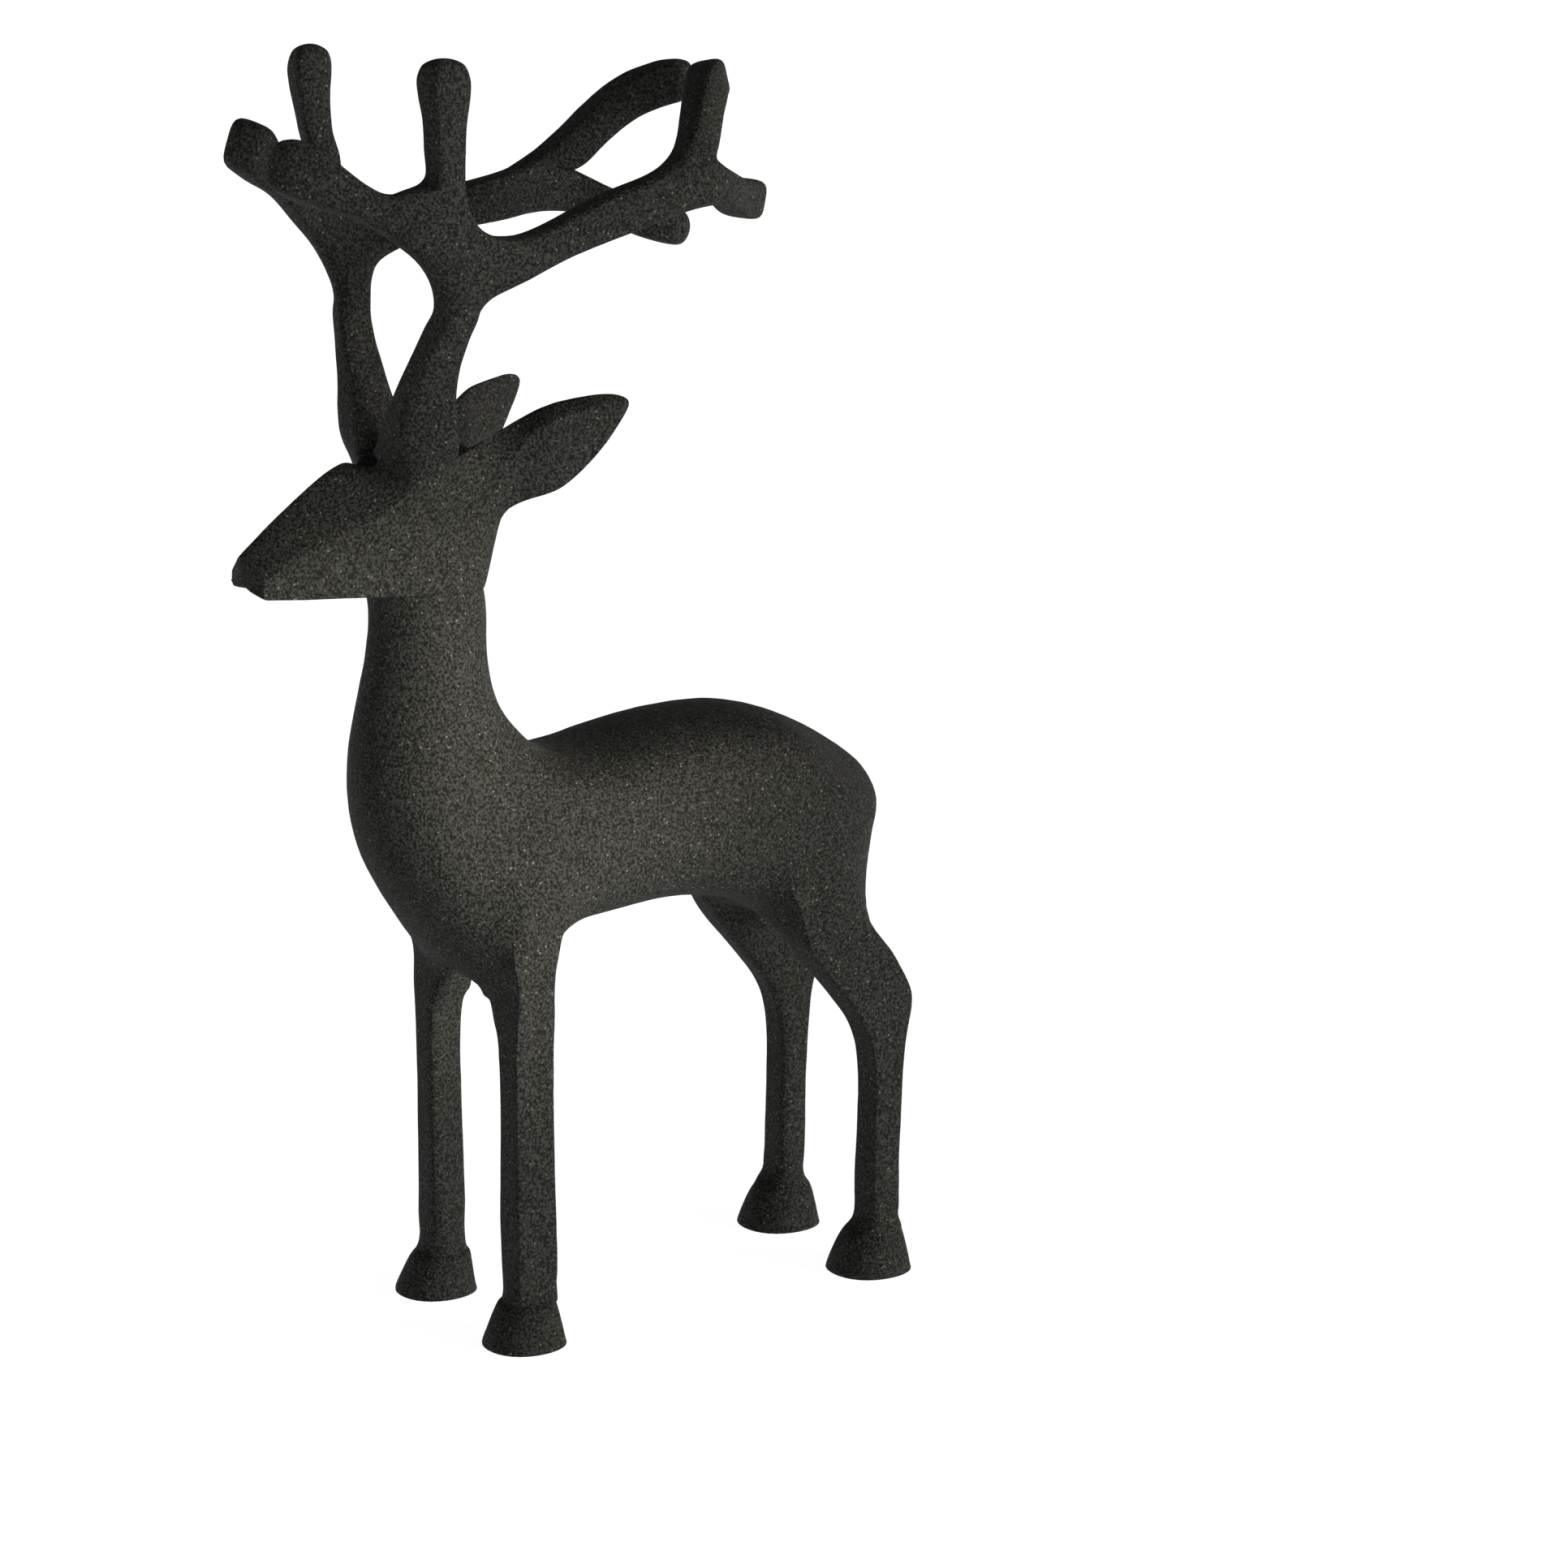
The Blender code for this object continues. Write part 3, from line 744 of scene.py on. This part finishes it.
def shoulder_lamp():
    """A lamp that lays a soft-edged pool of light on the shoulder."""
    lamp = bpy.data.lights.new("pool", "SPOT")
    lamp.energy = POOL_WATTS
    lamp.spot_size = math.radians(POOL_WIDE)
    lamp.spot_blend = 1.0
    lamp.shadow_soft_size = POOL_RADIUS
    aim = from_camera(POOL_RIGHT, POOL_HIGH)
    hang(lamp, aim, Vector(POOL_ON) - aim * POOL_FAR)


def room():
    """White walls all round: brightest level with the figure, dimmer underneath and nearly dark overhead."""
    world = bpy.data.worlds.new("studio")
    world.use_nodes = True
    tree = world.node_tree
    facing = node(tree, "ShaderNodeTexCoord").outputs["Generated"]
    way = node(tree, "ShaderNodeSeparateXYZ", links={"Vector": facing})
    glow = node(tree, "ShaderNodeValToRGB", links={"Fac": way.outputs["Z"]})
    level, overhead = glow.color_ramp.elements
    level.position = 0.0
    level.color = (ROOM_LEVEL, ROOM_LEVEL, ROOM_LEVEL, 1.0)
    overhead.position = TOP_FROM
    overhead.color = (ROOM_TOP, ROOM_TOP, ROOM_TOP, 1.0)
    below = node(
        tree, "ShaderNodeMapRange", {},
        {"From Min": UNDER_FROM, "From Max": 0.0, "To Min": ROOM_UNDER, "To Max": 1.0},
        {"Value": way.outputs["Z"]},
    )
    both = node(
        tree, "ShaderNodeMath", {"operation": "MULTIPLY"}, {},
        {0: glow.outputs["Color"], 1: below.outputs["Result"]},
    )
    tree.links.new(both.outputs["Value"], tree.nodes["Background"].inputs["Strength"])
    tree.nodes["Background"].inputs["Color"].default_value = linear("ffffff")
    bpy.context.scene.world = world


def camera():
    """The photograph's camera, and a view that keeps the colours as they are lit."""
    scene = bpy.context.scene
    scene.view_settings.view_transform = "Standard"
    eye = bpy.data.cameras.new("camera")
    eye.lens = LENS
    eye.sensor_width = FILM
    held = bpy.data.objects.new("camera", eye)
    held.location = CAMERA_AT
    held.rotation_euler = [math.radians(turn) for turn in CAMERA_TURN]
    scene.collection.objects.link(held)
    scene.camera = held


casting = stag_casting()
casting.data.materials.append(sand_cast_iron())
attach(casting, "root")
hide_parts("stag")
pale_floor()
room()
key_light()
shoulder_lamp()
camera()
